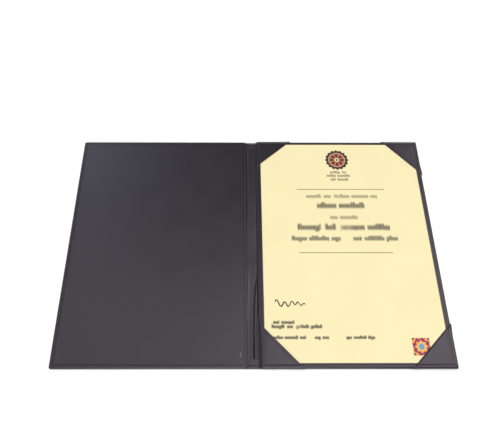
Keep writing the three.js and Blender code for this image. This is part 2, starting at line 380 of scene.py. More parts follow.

# %% [markdown]
# ## Leatherette
# The covers are charcoal leatherette: embossed vinyl with a fine pebble grain and a dull sheen.
# An image of leather would repeat, so the pebbles are Voronoi cells of about a millimetre, with
# rounded tops and rougher valleys that are painted darker, as painted shade. Clouds of three sizes vary
# the depth and the warmth of the colour, and the widest of them varies the gloss too.

# %% Leatherette
GRAIN_SIZE, GRAIN_ROUND = 1.0, 0.35
GRAIN_DEPTH, GRAIN_STRENGTH = 0.09, 0.22
FINE_SIZE, WOBBLE_SIZE, CREASE_SIZE = 0.35, 2.5, 9.0
PATCH_SIZE, TINT_SIZE, CLOUD_SIZE = 4.0, 10.0, 38.0
CLOUD_SHARE, PATCH_SHARE = 0.4, 0.6
DULLNESS, CLOUD_DULLING, VALLEY_DULLING, WOBBLE_DULLING = 0.26, 0.05, 0.06, 0.02
PEBBLE_RISE, FINE_RISE, CREASE_RISE = 0.7, 0.2, 2.0
CHARCOAL = ((0.0130, 0.0113, 0.0164), (0.0190, 0.0166, 0.0236))
COOL_TO_WARM = ((0.93, 1.00, 1.05), (1.08, 1.00, 0.93))
VALLEY_SHADE = (0.0083, 0.0071, 0.0098)
SHEEN_TINT = (1.0, 0.91, 1.0, 1.0)


def leatherette():
    """Cells with rounded tops: height is the distance to the cell's edge, eased off at the top."""
    leather = Finish("leatherette", Specular_IOR_Level=0.5, Specular_Tint=SHEEN_TINT)
    inputs = {"Vector": leather.place(), "Scale": 1 / (GRAIN_SIZE * MM)}
    cells = leather.add("ShaderNodeTexVoronoi", {"feature": "DISTANCE_TO_EDGE"}, inputs, "Distance")
    pebble = cells.ramp(0.0, GRAIN_ROUND)
    fine, wobble = leather.noise(FINE_SIZE), leather.noise(WOBBLE_SIZE, detail=1.0)
    crease = leather.noise(CREASE_SIZE, detail=4.0, roughness=0.6)
    cloud, patch = leather.cloud(CLOUD_SIZE, detail=3.0), leather.cloud(PATCH_SIZE)
    tone = leather.mix(cloud * CLOUD_SHARE + patch * PATCH_SHARE, *CHARCOAL)
    tint = leather.mix(leather.cloud(TINT_SIZE), *COOL_TO_WARM)
    tone = leather.mix(1.0, tone, tint, "MULTIPLY")
    # The pebbles' valleys are painted darker: painted shade in the grain's hollows.
    tone = leather.mix(1 - pebble, tone, VALLEY_SHADE)
    rough = DULLNESS + CLOUD_DULLING * cloud + VALLEY_DULLING * (1 - pebble) + WOBBLE_DULLING * wobble
    height = pebble * PEBBLE_RISE + fine * FINE_RISE + crease * CREASE_RISE
    normal = leather.bump(height, GRAIN_STRENGTH, GRAIN_DEPTH)
    return leather.finish(Base_Color=tone, Roughness=rough, Normal=normal)


LEATHER = leatherette()

# %% [markdown]
# ## Outer skin
# One piece of leatherette wraps both boards: it covers the outside, rolls round the three free edges
# and is turned in under the lining. A tray with square edges would look like cut sheet metal, so
# the edge is a superellipse that is carried round the outline of each cover. Between the boards the
# skin is only a folded hem thick, and there it bends from the cover to the spine. Each half ends at the
# middle of the spine, where the two halves meet.

# %% Measures from the frame
COVER_X, COVER_Y, TURN_IN_TOP = node_box("back_cover_skin")[1]
SPINE_TOP = node_box("spine_skin")[1][2]
lining_low, lining_high = node_box("back_lining")
LINING_INSET = COVER_X - lining_high[0]
PANEL_X = lining_low[0] - LINING_INSET
SEAM, SPINE_SEAM = 3.9, 2.0
SEAM_X = (PANEL_X + SPINE_SEAM, COVER_X - SEAM)
SEAM_Y = (-(COVER_Y - SEAM), COVER_Y - SEAM)
PITCH = 3.4
CORNER = 2.5


# %% Stitches along a seam
def stitch_count(length):
    """How many stitches of about one pitch fill a length."""
    return max(1, int(round(length / PITCH)))


def seam_marks(low, high):
    """Evenly spaced middles of stitches between two needle holes at the ends of a seam."""
    edges = np.linspace(low, high, stitch_count(high - low) + 1)
    return 0.5 * (edges[1:] + edges[:-1])


def pucker(along, low, high):
    """A wave along a seam, 1 at each needle hole and 0 at the middle of each stitch."""
    return 0.5 + 0.5 * np.cos(2 * np.pi * stitch_count(high - low) * (along - low) / (high - low))


print("seam", len(seam_marks(*SEAM_X)), "by", len(seam_marks(*SEAM_Y)), "stitches")

# %% The skin's outline
SPINE_LINES, PANEL_LINES = np.linspace(0.0, 8.1, 28), (13.0, 14.5, 16.0)
SEAM_STEPS = np.array([0.0, 0.2, 0.4, 0.7, 1.1, 1.6])
SEAM_LINES = np.concatenate([SEAM_X[0] - SEAM_STEPS, SEAM_X[0] + SEAM_STEPS])
GUTTER_LINES = np.unique(np.concatenate([SPINE_LINES, SEAM_LINES, PANEL_LINES]))
PER_STITCH = 4
CORNER_STEPS = 5


def cover_path(inset):
    """Points of the cover's outline drawn at an inset, from the spine round the fore-edge and back.

    The tail side keeps its columns over the gutter and stretches the others up to the corner, the
    corner is a quarter circle whose radius shrinks with the inset, and the head side mirrors the tail.
    """
    radius = np.maximum(CORNER - inset, 0.0)
    corner_x = COVER_X - inset - radius
    corner_y = COVER_Y - inset - radius
    start = GUTTER_LINES[-1]
    rest = np.linspace(0.0, 1.0, int(PER_STITCH * (COVER_X - start) / PITCH) + 1)[1:]
    over_gutter = np.broadcast_to(GUTTER_LINES, (len(inset), len(GUTTER_LINES)))
    tail_x = np.concatenate([over_gutter, start + (corner_x - start) * rest], axis=1)
    tail_y = np.broadcast_to(-(COVER_Y - inset), tail_x.shape)
    angle = np.linspace(-0.5 * np.pi, 0.0, CORNER_STEPS + 2)[1:-1]
    bend_x = corner_x + radius * np.cos(angle)
    bend_y = -corner_y + radius * np.sin(angle)
    side_y = corner_y * np.linspace(-1.0, 1.0, int(PER_STITCH * 2 * COVER_Y / PITCH))
    side_x = np.broadcast_to(COVER_X - inset, side_y.shape)
    x = np.concatenate([tail_x, bend_x, side_x, bend_x[:, ::-1], tail_x[:, ::-1]], axis=1)
    y = np.concatenate([tail_y, bend_y, side_y, -bend_y[:, ::-1], -tail_y[:, ::-1]], axis=1)
    return x, y


print("columns over the gutter", len(GUTTER_LINES))

# %% The skin's profile
ROLL, ROLL_POWER, ROLL_STEPS = 1.15, 2 / 2.3, 13
UNDERSIDE = np.array([COVER_Y, 110, 70, 40, 20, 10, 6.5, 5.2, 4.6, 4.2, SEAM, 3.6, 3.2, 2.6, 1.9])
LIP = np.array([1.7, 3.0, 6.0, 12.0])
FLAT_FROM, END_BAND, BELOW_LIMIT = 1.5, 9.0, -0.99
GROOVE_DEPTH, GROOVE_WIDTH, HOLE_SHARE = 0.35, 0.55, 0.25
JOINT_DIP, JOINT_PLACE, JOINT_WIDTH = 0.15, 1.4, 1.2
CLIMB_START, CLIMB_WIDTH = 0.6, 1.6
SKIN_BELOW, SKIN_TURNED_IN = 0.8, 0.4
SPINE_THINNING = 0.35


def skin_height(inset, rise, x, y):
    """The profile's rise as a height, with the sewn grooves and the joint's dip pressed in from below."""
    on_panel = smooth((x - PANEL_X + CLIMB_START) / CLIMB_WIDTH)
    top = SPINE_TOP + (TURN_IN_TOP - SPINE_TOP) * on_panel
    under = (rise < BELOW_LIMIT) * smooth(inset - FLAT_FROM)
    holes = np.where(np.abs(y) > COVER_Y - END_BAND, pucker(x, *SEAM_X), pucker(y, *SEAM_Y))
    ring = bell(inset - SEAM, GROOVE_WIDTH) * (1 - HOLE_SHARE + HOLE_SHARE * holes)
    row = bell(x - SEAM_X[0], GROOVE_WIDTH) * (np.abs(y) < SEAM_Y[1])
    joint = JOINT_DIP * bell(x - PANEL_X + JOINT_PLACE, JOINT_WIDTH)
    return 0.5 * top * (1 + rise) + under * (GROOVE_DEPTH * np.maximum(ring, row) + joint), on_panel


def cover_skin():
    """The skin's outer and inner sheets: a profile carried along the outline.

    Under the cover it is flat with a sewn groove, at the edge it follows a superellipse as high as
    the cover, and on top it is a flat lip. The inner sheet is the profile moved along its normal.
    """
    turn = np.linspace(-0.5 * np.pi, 0.5 * np.pi, ROLL_STEPS)
    swell = np.sign(np.sin(turn)) * np.abs(np.sin(turn)) ** ROLL_POWER
    edge = ROLL * (1 - np.abs(np.cos(turn)) ** ROLL_POWER)
    inset = np.concatenate([UNDERSIDE, edge, LIP])[:, None]
    rise = np.concatenate([-np.ones(len(UNDERSIDE)), swell, np.ones(len(LIP))])[:, None]
    x, y = cover_path(inset)
    z, on_panel = skin_height(inset, rise, x, y)
    step_inset = np.gradient(inset, axis=0)
    step_z = np.gradient(0.5 * TURN_IN_TOP * (1 + rise), axis=0)
    thickness = 0.5 * (SKIN_BELOW * (1 - rise) + SKIN_TURNED_IN * (1 + rise))
    thickness = thickness / np.hypot(step_inset, step_z)
    inner_x, inner_y = cover_path(inset + thickness * step_z)
    inner_z = z - thickness * step_inset * (1 - SPINE_THINNING * (1 - on_panel))
    return np.stack([x, y, z], axis=-1), np.stack([inner_x, inner_y, inner_z], axis=-1)


outer_sheet, inner_sheet = cover_skin()
print("skin", outer_sheet.shape[0], "rows of", outer_sheet.shape[1], "points")

# %% Both halves of the skin
MIRROR = np.array([-1.0, 1.0, 1.0])
SIDES = {"back": np.ones(3), "front": MIRROR}


def bend_at_fold(piece):
    """Bakes the piece's placement into its points."""
    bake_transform(piece)


points, faces = shell(outer_sheet, inner_sheet, first_row=False)
for side, mirror in SIDES.items():
    nodes = (side + "_cover_skin", "spine_skin")
    skin = make_piece(side + "_outer_leather", points * mirror, faces, LEATHER, nodes)
    bend_at_fold(skin)


# %% [markdown]
# ## Inner linings
# Each board is lined with a panel of the same leatherette, sewn down all round. The seam pulls the
# panel into a groove with a small pit at every needle hole, hardest along the tail and hardly at all
# beside the spine, and the border outside the seam rolls down to the edge. The panel is a profile
# carried round a rounded rectangle: rings from the middle of the face, over the groove and the edge,
# to the middle of the back.

# %% Rings of a rounded rectangle
WAVE_COUNT, WAVE_LENGTHS = 5, (70, 170)


def rounded_rings(inset, half, corner, counts):
    """Rings of a rounded rectangle about the origin, one row for each inset.

    Sides are straight runs between the corners, and a corner is a quarter circle whose radius
    shrinks with the inset. Past half the width a ring has closed up into a line.
    """
    inset = np.asarray(inset, float)[:, None]
    radius = np.maximum(corner - inset, 0.0)
    reach_x = np.maximum(half[0] - inset - radius, 0.0)
    reach_y = np.maximum(half[1] - inset - radius, 0.0)
    across, up = np.linspace(-1, 1, counts[0]), np.linspace(-1, 1, counts[1])
    angle = np.linspace(0.0, 0.5 * np.pi, CORNER_STEPS + 2)[1:-1]
    cosine, sine = radius * np.cos(angle), radius * np.sin(angle)
    wide, high = reach_x + radius, reach_y + radius
    level, upright = np.ones_like(across), np.ones_like(up)
    x = [wide * upright, reach_x + cosine, -reach_x * across, -reach_x - sine]
    y = [reach_y * up, reach_y + sine, high * level, reach_y + cosine]
    x += [-wide * upright, -reach_x - cosine, reach_x * across, reach_x + sine]
    y += [-reach_y * up, -reach_y - sine, -high * level, -reach_y - cosine]
    return np.concatenate(x, axis=1), np.concatenate(y, axis=1)


def ring_body(rings):
    """Points and faces of a body that is made of closed rings, one after the other."""
    return rings.reshape(-1, 3), quads_between(*rings.shape[:2], closed=True)


def waviness(x, y, height, seed):
    """A slow unevenness: a few sine waves of random direction, length and phase, averaged."""
    chance = np.random.default_rng(seed)
    spans = (WAVE_LENGTHS, (0, np.pi), (0, 2 * np.pi))
    length, angle, phase = (chance.uniform(*span, WAVE_COUNT) for span in spans)
    x, y = x[..., None], y[..., None]
    waves = np.sin(2 * np.pi * (x * np.cos(angle) + y * np.sin(angle)) / length + phase)
    return height * waves.mean(axis=-1)


print("a ring has", CORNER_STEPS, "points in each corner")

# %% The linings' relief
LINING_ROLL, LINING_EDGE = 1.3, 0.12
SEW_DEPTH, SEW_WIDTH = 0.34, 0.60
SWELL_HEIGHT, SWELL_WIDTH, SWELL_PLACE = 0.20, 1.2, 1.9
TAIL_START, TAIL_FADE = 132.0, 10.0
SPINE_REACH, SPINE_FADE = 10.0, 4.0
PULL, TAIL_PULL, SPINE_SLACK = 0.4, 0.1, 0.9
BULGE, TAIL_BULGE, SPINE_FLATNESS = 0.4, 0.3, 0.8


def seam_pull(x, y):
    """How hard the seam pulls in, and how far the leather swells beside it.

    Both are largest along the tail and smallest beside the spine.
    """
    tail = smooth((-y - TAIL_START) / TAIL_FADE)
    spine = smooth((PANEL_X + SPINE_REACH - x) / SPINE_FADE)
    pull = (PULL + TAIL_PULL * tail) * (1 - SPINE_SLACK * spine)
    return pull, (BULGE + TAIL_BULGE * tail) * (1 - SPINE_FLATNESS * spine)


def lining_height(inset, x, y):
    """The lining's face: a quarter-round edge, a sewn groove and a slight swell inside the groove.

    The groove follows the seam's rectangle: a point's distance to its nearest side counts.
    """
    edge = np.sqrt(np.clip(1 - (1 - np.clip(inset / LINING_ROLL, 0, 1)) ** 2, 0, 1))
    base = lining_low[2] + LINING_EDGE
    from_side = np.minimum(x - SEAM_X[0], SEAM_X[1] - x)
    from_end = SEAM_Y[1] - np.abs(y)
    seam = np.minimum(from_side, from_end)
    holes = np.where(from_end < from_side, pucker(x, *SEAM_X), pucker(y, *SEAM_Y))
    pull, bulge = seam_pull(x, y)
    groove = SEW_DEPTH * bell(seam, SEW_WIDTH) * (0.5 + 0.5 * holes)
    swell = SWELL_HEIGHT * bell(seam - SWELL_PLACE, SWELL_WIDTH)
    return base + (lining_high[2] - base) * edge + bulge * swell - pull * groove


print("the linings' seam pulls in by", round(PULL * SEW_DEPTH, 2), "mm")

# %% The linings
LINING_LAP = np.array([0.8, 0.0])
LINING_HALF = 0.5 * (lining_high[:2] - lining_low[:2] + LINING_LAP)
LINING_MIDDLE = 0.5 * (lining_high[:2] + lining_low[:2] - LINING_LAP)
LINING_FACE = np.array(
    [LINING_HALF[0], 95, 80, 65, 50, 38, 28, 20, 14, 10, 7.5, 6, 5, 4.3, 3.8, 3.45, 3.15, 2.9, 2.65]
    + [2.35, 2.0, 1.6, 1.2, 0.85, 0.55, 0.32, 0.15, 0.04, 0.0]
)
LINING_BACK = np.array([0.0, 12.0, 60.0, LINING_HALF[0]])
LINING_SEED = {"back": 8, "front": 7}
BORDER_STEP, BORDER_WIDTH = {"back": -0.15, "front": 0.0}, 0.8
WAVE_HEIGHT, WAVE_START, WAVE_FADE = 0.16, 6.0, 30.0


def lining_panel(seed, step):
    """Rings over the face of a lining panel and back under it.

    Beside the spine the border outside the seam stands higher than the panel by step.
    """
    inset = np.concatenate([LINING_FACE, LINING_BACK])
    counts = [int(PER_STITCH * 2 * half / PITCH) for half in LINING_HALF]
    x, y = rounded_rings(inset, LINING_HALF, CORNER - LINING_INSET, counts)
    x = x + LINING_MIDDLE[0]
    rows = inset[:, None]
    waves = waviness(x, y, WAVE_HEIGHT, seed) * smooth((rows - WAVE_START) / WAVE_FADE)
    border = smooth((SEAM_X[0] + 0.5 * BORDER_WIDTH - x) / BORDER_WIDTH) * smooth(rows / LINING_ROLL)
    face = lining_height(rows, x, y) + waves + step * border
    back = np.arange(len(inset))[:, None] >= len(LINING_FACE)
    return np.stack([x, y, np.where(back, lining_low[2], face)], axis=-1)


for side, mirror in SIDES.items():
    points, faces = ring_body(lining_panel(LINING_SEED[side], BORDER_STEP[side]))
    name, nodes = side + "_inner_leather", (side + "_lining",)
    panel = make_piece(name, points * mirror, faces, LEATHER, nodes)
    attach(panel, side + "_leaf")


# %% [markdown]
# ## Gutter lining
# A strip of leatherette lines the gutter. It starts under each lining, turns over the edge of the
# board, runs down to the spine and crosses it. Folding leaves it creased along its length. In the
# upper half a lip stands beside the front cover and a groove lies beside the back one. In the lower
# half the slack leather stands up, with a shallow valley and a sharp crease that wanders from the back
# cover to the middle of the spine. A flat strip would hide all that, so its height is a sum of long
# narrow humps and grooves.

# %% The gutter's cross-section
strip_high = node_box("back_hinge_strip")[1]
STRIP_THICKNESS, STRIP_TRIM = 0.5, 2.0
STRIP_END = strip_high[1] - 0.15
GUTTER_FLOOR = 1.45
WALL_X = {"back": PANEL_X - 1.0, "front": PANEL_X - 0.5}
TOP_ROUND, TOP_LIFT, TOP_LANDING, FOOT_ROUND = 0.65, 0.03, 0.2, 0.55
TOP_STEPS, TURN_STEPS, FLOOR_STEPS = 7, 8, 41


def gutter_profile(wall_x):
    """From under the lining over the board's edge, down its wall and along the floor to the middle."""
    turn = np.linspace(0.0, 0.5 * np.pi, TURN_STEPS)
    foot_x = wall_x - FOOT_ROUND
    top_z = TURN_IN_TOP + TOP_LIFT
    x = [
        np.linspace(strip_high[0] - STRIP_TRIM, wall_x + TOP_ROUND + TOP_LANDING, TOP_STEPS),
        wall_x + TOP_ROUND * (1 - np.sin(turn)),
        foot_x + FOOT_ROUND * np.cos(turn),
        np.linspace(foot_x, 0.0, FLOOR_STEPS + 1)[1:],
    ]
    z = [
        np.full(TOP_STEPS, top_z),
        top_z - TOP_ROUND * (1 - np.cos(turn)),
        GUTTER_FLOOR + FOOT_ROUND * (1 - np.sin(turn)),
        np.full(FLOOR_STEPS, GUTTER_FLOOR),
    ]
    return np.concatenate(x), np.concatenate(z)


print("gutter walls", WALL_X, "floor", GUTTER_FLOOR, "mm")

# %% The gutter's creases
HALF_FADE, GUTTER_TAIL, GUTTER_FADE = 40.0, 149.0, 10.0
BULGE_HEIGHT, BULGE_SIDE = 1.15, 1.4
BULGE_EDGE, BULGE_TAPER, TAPER_START, TAPER_FADE = 6.4, 1.8, 65.0, 55.0
UPPER_LEAST, UPPER_FADE = 0.35, 90.0
UPPER_LINES = ((-5.8, 0.5, 0.36), (-4.7, 0.5, -0.26), (5.9, 0.6, -0.35))
LOWER_START, LOWER_FADE = 26.0, 20.0
FRONT_RIDGE = ((-5.9, 0.6, 0.10),)
CREASE_LINES = ((2.2, 0.8, 0.14), (0.0, 0.65, -1.0))
CREASE_START, CREASE_TOP, CREASE_FADE, CREASE_END = 5.0, 46.0, 25.0, -0.1
VALLEY_BEND, VALLEY_LOW, VALLEY_HIGH = 0.0087, -3.0, 1.5
TAIL_TILT, TILT_START, TILT_FADE = 0.16, 50.0, 70.0
TILT, MIDDLE_TILT, TILT_PLACE, TILT_REACH = 0.042, 0.040, 5.0, 50.0
RIPPLE_HEIGHT, RIPPLE_WIDTH = 0.02, 3.1
RIPPLE_WANDER = ((0.35, 31.0), (0.2, 12.7))


def humps(x, lines):
    """A sum of bell-shaped humps; each line gives a place, a width and a height."""
    return sum(height * bell(x - place, width) for place, width, height in lines)


def lower_half(y):
    """Rises from 0 at the middle of the gutter to 1 in its lower half."""
    return smooth(-y / HALF_FADE)


def before_tail(y):
    """1 along the gutter, falling to 0 at the hem of the tail."""
    return smooth((y + GUTTER_TAIL) / GUTTER_FADE)


def gutter_bulge(x, y):
    """Slack leather stands up off the floor in the lower half, from the front wall to near the back one."""
    edge = BULGE_EDGE - BULGE_TAPER * smooth((-y - TAPER_START) / TAPER_FADE)
    return BULGE_HEIGHT * lower_half(y) * before_tail(y) * smooth((edge - x) / BULGE_SIDE)


def gutter_relief(x, y):
    """Long creases of the gutter's floor, as humps and grooves across x that fade in along y.

    In the upper half a lip stands beside the front wall and a groove lies along the back wall. In the
    lower half a shallow valley rises towards a crease with a ridge beside it; the crease starts beside
    the back cover and nears the middle of the spine like a dying exponential.
    """
    upper = (1 - lower_half(y)) * (UPPER_LEAST + (1 - UPPER_LEAST) * smooth(y / UPPER_FADE))
    lower = smooth((-y - LOWER_START) / LOWER_FADE) * before_tail(y)
    crease_x = CREASE_START * np.exp(np.minimum(y + CREASE_TOP, 0) / CREASE_FADE) + CREASE_END
    valley = VALLEY_BEND * (np.minimum(x, VALLEY_HIGH) - VALLEY_LOW) ** 2
    creases = valley + humps(x, FRONT_RIDGE) + humps(x - crease_x, CREASE_LINES)
    tilt = TAIL_TILT * smooth((-y - TILT_START) / TILT_FADE)
    tilt = tilt - TILT - MIDDLE_TILT * bell(y - TILT_PLACE, TILT_REACH)
    wander = sum(reach * np.sin(y / length) for reach, length in RIPPLE_WANDER)
    ripple = RIPPLE_HEIGHT * np.sin(2 * np.pi * (x / RIPPLE_WIDTH + wander))
    return lower * creases + upper * humps(x, UPPER_LINES) + ripple + tilt * x


print("slack leather stands", BULGE_HEIGHT, "mm high in the gutter's lower half")

# %% Both halves of the gutter lining
HEM_RISE = node_box("spine_lining")[1][2] - GUTTER_FLOOR
HEM_LINE = COVER_Y - 10.5
HEM_FADE, HEM_PINCH, PINCH_WIDTH = (3.5, 8.0), (0.20, 0.36), 0.9
TAIL_DROP, TAIL_ROUND = 0.40, 1.6
HEAD_LIFT, HEAD_START, HEAD_FADE = 0.35, 2.2, 2.0
FLATTENING, FLAT_START, FLAT_FADE = 0.75, 3.0, 6.0
FOOT_GAP, FOOT_FADE = 0.25, 1.2
END_ROWS = np.concatenate([[0, 0.15, 0.4, 0.7], np.arange(1.0, 16, 0.4)])
MIDDLE_ROWS = np.arange(-136, 137, 2.5)


def gutter_strip(sign, wall_x):
    """The profile is carried along the gutter; its floor takes the relief and the hems at both ends.

    Pairs of values hold for the tail first and for the head second.
    """
    profile_x, profile_z = gutter_profile(wall_x)
    step_x, step_z = np.gradient(profile_x), np.gradient(profile_z)
    size = np.hypot(step_x, step_z) / STRIP_THICKNESS
    end = STRIP_END - END_ROWS
    along = np.concatenate([-end, MIDDLE_ROWS, end[::-1]])[:, None]
    x = profile_x + 0 * along
    y = along + 0 * x
    on_floor = smooth((wall_x - FOOT_GAP - x) / FOOT_FADE)
    hem = HEM_RISE * smooth((np.abs(y) - HEM_LINE) / np.where(y < 0, *HEM_FADE))
    sewn = np.where(y < 0, *HEM_PINCH) * bell(np.abs(y) - SEAM_Y[1], PINCH_WIDTH)
    rounded = TAIL_DROP * smooth((-y - STRIP_END + TAIL_ROUND) / TAIL_ROUND) ** 2
    raised = HEAD_LIFT * smooth((y - STRIP_END + HEAD_START) / HEAD_FADE)
    faded = 1 - FLATTENING * smooth((-y - HEM_LINE + FLAT_START) / FLAT_FADE)
    base = np.maximum(profile_z, GUTTER_FLOOR + gutter_bulge(sign * x, y))
    z = base + on_floor * (hem + gutter_relief(sign * x, y) * faded - sewn + raised) - rounded
    top = np.stack([sign * x, y, z], axis=-1)
    under = np.stack([sign * (x + step_z / size), y, z - np.abs(step_x) / size], axis=-1)
    return shell(top, under)


for side, mirror in SIDES.items():
    points, faces = gutter_strip(mirror[0], WALL_X[side])
    nodes = (side + "_hinge_strip", "spine_lining")
    strip = make_piece(side + "_gutter_leather", points, faces, LEATHER, nodes)
    bend_at_fold(strip)


# %% [markdown]
# ## Corner pockets
# Four triangles of leatherette hold the sheet. Each is folded over along its diagonal into a hem, and
# its other two sides wrap the cover's edges and are caught in the seam. The triangle is drawn in two
# distances, p and q, from the cover's two edges. Rows run parallel to the diagonal, from the corner
# out to the hem, with their points crowded where the edges roll and the seam pulls in. No two pockets
# are cut quite alike, so each one's legs are stretched a little at the end.

# %% The pocket's height
SEAM_Q = (SEAM, 2 * COVER_Y - SEAM)
WRAP_PROUD, WRAP_ROLL, WRAP_FOOT, WRAP_WALL, WRAP_DONE = 0.35, 1.9, 2.5, 0.6, 0.9
FLAP_EDGE, FLAP_LOW, FLAP_CLEAR, FLAP_FADE = 4.75, 4.45, 0.07, 6.0
FLAP_RISE = {"top": (0.42, 12.0), "bottom": (0.45, 9.0)}
WALL_WIDTH = 0.5
POCKET_SEW_DEPTH, POCKET_SEW_WIDTH = 0.26, 0.50
EDGE_SWELL, EDGE_PLACE, EDGE_WIDTH = 0.10, 1.5, 0.9
HEM_WIDTH, HEM_HEIGHT, HEM_START, HEM_EASE = 3.7, 0.14, 0.6, 1.4
HEM_MIDDLE, HEM_ROUND = 4.62, 0.5
HEM_FALL = {"top_left": 0.04, "top_right": 0.22, "bottom_right": 0.62, "bottom_left": 0.0}
HEM_SLOPE, HEM_CURVE = 2.3, 1.5
HEM_SEAM, HEM_SEAM_END = 3.0, 4.6
HEM_SEW_DEPTH, HEM_SEW_WIDTH = 0.12, 0.45


def quarter(t):
    """A quarter circle's rise from 0 at t = 0 to 1 at t = 1."""
    t = np.clip(t, 0.0, 1.0)
    return np.sqrt(1 - (1 - t) ** 2)


def wrapped(height, p, q, from_hem, wall=0.0):
    """A flap's height brought down at the wrapped edges and closed up at the hem, by quarter circles.

    The underside's quarter circles start further in, by the thickness of the wall.
    """
    wrap = quarter((p + WRAP_PROUD - wall) / WRAP_ROLL) * quarter((q + WRAP_PROUD - wall) / WRAP_ROLL)
    height = WRAP_FOOT + (height - WRAP_FOOT) * wrap
    closed_up = HEM_MIDDLE + (height - HEM_MIDDLE) * quarter(from_hem / HEM_ROUND)
    return np.where(wrap > WRAP_DONE, closed_up, height)


def pocket_top(p, q, leg, seam, pull, fall, rise, reach):
    """Flap height: a hem that rolls over at the diagonal, sewn grooves and quarter-round wraps.

    Here seam is the place of the seam along the p edge and pull its strength, along the q edge they are
    SEAM and 1, and fall is how far the hem drops towards the sheet. Inside the q seam the flap rises
    like 1 - exp(-distance / reach).
    """
    from_hem = (leg - p - q) / np.sqrt(2)
    hem = HEM_HEIGHT * smooth((HEM_WIDTH + HEM_START - from_hem) / HEM_EASE)
    hem = hem - HEM_SEW_DEPTH * bell(from_hem - HEM_SEAM, HEM_SEW_WIDTH)
    hem = hem - fall * np.clip(1 - from_hem / HEM_SLOPE, 0, 1) ** HEM_CURVE
    groove_p = pull * bell(p - seam, POCKET_SEW_WIDTH) * (0.5 + 0.5 * pucker(q, *SEAM_Q))
    far = seam + SEAM_X[1] - SEAM_X[0]
    groove_q = bell(q - SEAM, POCKET_SEW_WIDTH) * (0.5 + 0.5 * pucker(p, seam, far))
    dome = 1 - np.exp(-np.maximum(q - SEAM, 0) / reach)
    face = FLAP_EDGE + rise * dome * smooth((p - seam) / FLAP_FADE)
    swell = pull * bell(p - seam + EDGE_PLACE, EDGE_WIDTH) + bell(q - SEAM + EDGE_PLACE, EDGE_WIDTH)
    height = face + hem + EDGE_SWELL * swell - POCKET_SEW_DEPTH * np.maximum(groove_p, groove_q)
    return wrapped(height, p, q, from_hem)


def pocket_under(p, q, leg):
    """The flap's underside: a wall inside the wraps, low at the seams and clear of the sheet beyond."""
    foot = lining_high[2] + FLAP_CLEAR
    height = foot + (FLAP_LOW - foot) * smooth((np.minimum(p, q) - SEAM) / WALL_WIDTH)
    return wrapped(height, p, q, (leg - p - q) / np.sqrt(2), WRAP_WALL)


print("a flap starts", FLAP_EDGE, "mm up, and its hem is", HEM_HEIGHT, "mm thicker")

# %% The pocket's grid
BORDER_STEPS = np.array(
    [0, 0.06, 0.18, 0.36, 0.6, 0.95, 1.4, 1.9, 2.6, 3.3, 3.75, 4.05, 4.25, 4.45, 4.75]
    + [5.2, 5.7, 6.2, 7.0, 8.0]
)
HEM_STEPS = np.array(
    [0, 0.03, 0.1, 0.22, 0.4, 0.62, 0.9, 1.4, 1.9, 2.25, 2.6, 2.95, 3.3, 3.7, 4.1, 4.5, 5.0, 6.0]
)
MIDDLE_STEPS = 14
CORNER_ZONE, CORNER_ROWS, OPEN_ROWS = 12.0, 25, 14
FULL_ROW = 22.0


def pocket_grid(leg):
    """Rows parallel to the hem: each runs from one wrapped edge to the other.

    The points near the edges keep their distance to them on long rows and close up on short ones.
    """
    reach = leg + 2 * WRAP_PROUD
    hem_rows = reach - HEM_STEPS * np.sqrt(2)
    corner_rows = np.linspace(0.0, CORNER_ZONE, CORNER_ROWS)
    open_rows = np.linspace(CORNER_ZONE, hem_rows[-1], OPEN_ROWS)[1:-1]
    rows = np.concatenate([corner_rows, open_rows, hem_rows[::-1]])[:, None]
    border = BORDER_STEPS * np.minimum(1.0, rows / FULL_ROW)
    middle = np.linspace(0.0, 1.0, MIDDLE_STEPS + 2)[1:-1]
    between = border[:, -1:] + (rows - 2 * border[:, -1:]) * middle
    from_p = np.concatenate([border, between, rows - border[:, ::-1]], axis=1)
    return from_p - WRAP_PROUD, rows - from_p - WRAP_PROUD


print("a pocket has", CORNER_ROWS + OPEN_ROWS - 2 + len(HEM_STEPS), "rows")

# %% The pocket's plan
CORNER_ROUND = 1.6
HEM_FLARE = np.array([0.75, 0.15])
FLARE_REACH, FLARE_FADE, FLARE_EDGE = 11.0, 9.0, 2.2
STRETCH_FROM = 6.0


def rounded_corner(p, q):
    """Rounds the plan's corner: the square of side CORNER_ROUND is moved onto a quarter disc."""
    a, b = (np.clip(1 - (value + WRAP_PROUD) / CORNER_ROUND, 0, 1) for value in (p, q))
    move_p, move_q = a * (1 - np.sqrt(1 - 0.5 * b**2)), b * (1 - np.sqrt(1 - 0.5 * a**2))
    return p + CORNER_ROUND * move_p, q + CORNER_ROUND * move_q


def flared(p, q, leg):
    """The doubled hem is thicker than the rest, so its two ends stand out past the wrapped edges."""
    near_hem = smooth((FLARE_REACH - (leg - p - q) / np.sqrt(2)) / FLARE_FADE)
    near_edge = (smooth((FLARE_EDGE - value) / FLARE_EDGE) for value in (p, q))
    out_p, out_q = (flare * near_hem * near for flare, near in zip(HEM_FLARE, near_edge))
    return p - out_p, q - out_q


def stretched(value, leg, extra):
    """Distances past STRETCH_FROM grow evenly, so that a leg ends up longer by extra."""
    return value + extra * np.maximum(value - STRETCH_FROM, 0.0) / (leg - STRETCH_FROM)


print("a hem's ends flare by", HEM_FLARE, "mm")

# %% The four pockets
LEG_EXTRA = {
    "top_left": (4.6, -0.6),
    "top_right": (-1.2, 3.4),
    "bottom_right": (0.0, 0.0),
    "bottom_left": (1.2, 2.4),
}
SIDE_PULL = 0.35


